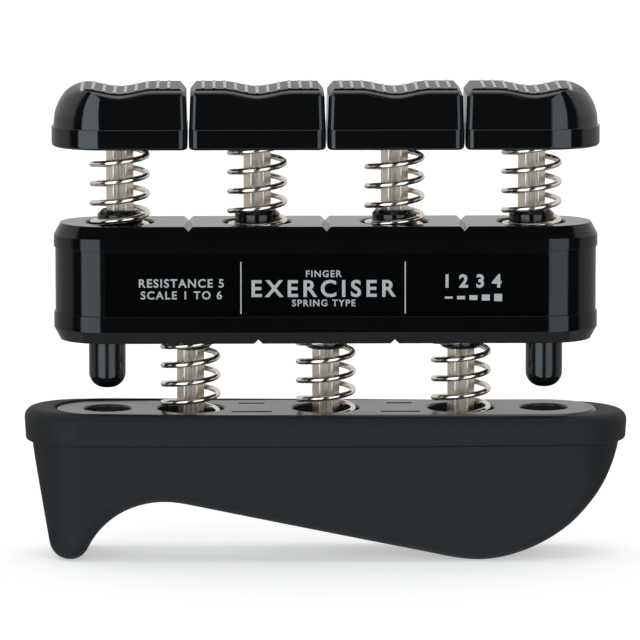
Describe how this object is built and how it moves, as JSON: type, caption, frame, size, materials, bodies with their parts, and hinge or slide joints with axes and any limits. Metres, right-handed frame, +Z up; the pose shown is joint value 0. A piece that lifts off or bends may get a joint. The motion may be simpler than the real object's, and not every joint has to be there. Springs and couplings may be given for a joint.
{
  "type": "finger exerciser",
  "caption": "Spring hand exerciser: sprung finger buttons on hexagonal rods over a housing that slides down on sprung rods towards a rubber palm grip.",
  "frame": {"origin": "middle of the footprint, on the surface that the grip stands on", "axes": "+X along the row of buttons from the foot end to the heel end, +Y from the labelled front to the back, +Z up through the buttons"},
  "size_m": [0.0838, 0.0182, 0.0657],
  "materials": {
    "button_plastic": "polished black, ribbed satin top",
    "housing_plastic": "polished black",
    "bushing_plastic": "smooth black acetal",
    "insert_plastic": "satin black",
    "grip_rubber": "matte dark grey, fine moulded texture",
    "rod_steel": "drawn bright bar",
    "stop_steel": "zinc plated",
    "spring_wire": "nickel plated",
    "label_film": "gloss black film with light grey print"
  },
  "bodies": {
    "base": {"palm_grip": "grip_rubber", "base_insert": "insert_plastic", "palm_rod_1": "rod_steel", "palm_rod_2": "rod_steel", "palm_rod_3": "rod_steel", "palm_spring_1": "spring_wire", "palm_spring_2": "spring_wire", "palm_spring_3": "spring_wire", "palm_stop_washers": "stop_steel", "palm_stop_screws": "stop_steel"},
    "housing": {"housing_top_cap": "housing_plastic", "housing_sleeve": "housing_plastic", "housing_bottom_cap": "housing_plastic", "front_label": "label_film", "guide_post_left": "housing_plastic", "guide_post_right": "housing_plastic", "finger_bushing_1": "bushing_plastic", "finger_bushing_2": "bushing_plastic", "finger_bushing_3": "bushing_plastic", "finger_bushing_4": "bushing_plastic", "palm_bushing_1": "bushing_plastic", "palm_bushing_2": "bushing_plastic", "palm_bushing_3": "bushing_plastic", "finger_spring_1": "spring_wire", "finger_spring_2": "spring_wire", "finger_spring_3": "spring_wire", "finger_spring_4": "spring_wire"},
    "button_1": {"finger_button_1": "button_plastic", "finger_rod_1": "rod_steel", "finger_stop_washer_1": "stop_steel", "finger_stop_screw_1": "stop_steel"},
    "button_2": {"finger_button_2": "button_plastic", "finger_rod_2": "rod_steel", "finger_stop_washer_2": "stop_steel", "finger_stop_screw_2": "stop_steel"},
    "button_3": {"finger_button_3": "button_plastic", "finger_rod_3": "rod_steel", "finger_stop_washer_3": "stop_steel", "finger_stop_screw_3": "stop_steel"},
    "button_4": {"finger_button_4": "button_plastic", "finger_rod_4": "rod_steel", "finger_stop_washer_4": "stop_steel", "finger_stop_screw_4": "stop_steel"}
  },
  "joints": [
    {"name": "housing_slide", "type": "slide", "parent": "base", "child": "housing", "axis": [0, 0, 1], "range_m": [-0.0088, 0], "stiffness_N_per_m": 12500, "deforming": ["palm_spring_1", "palm_spring_2", "palm_spring_3"]},
    {"name": "button_slide_1", "type": "slide", "parent": "housing", "child": "button_1", "axis": [0, 0, 1], "range_m": [-0.0096, 0], "stiffness_N_per_m": 4150, "deforming": ["finger_spring_1"]},
    {"name": "button_slide_2", "type": "slide", "parent": "housing", "child": "button_2", "axis": [0, 0, 1], "range_m": [-0.0096, 0], "stiffness_N_per_m": 4150, "deforming": ["finger_spring_2"]},
    {"name": "button_slide_3", "type": "slide", "parent": "housing", "child": "button_3", "axis": [0, 0, 1], "range_m": [-0.0096, 0], "stiffness_N_per_m": 4150, "deforming": ["finger_spring_3"]},
    {"name": "button_slide_4", "type": "slide", "parent": "housing", "child": "button_4", "axis": [0, 0, 1], "range_m": [-0.0096, 0], "stiffness_N_per_m": 4150, "deforming": ["finger_spring_4"]}
  ]
}
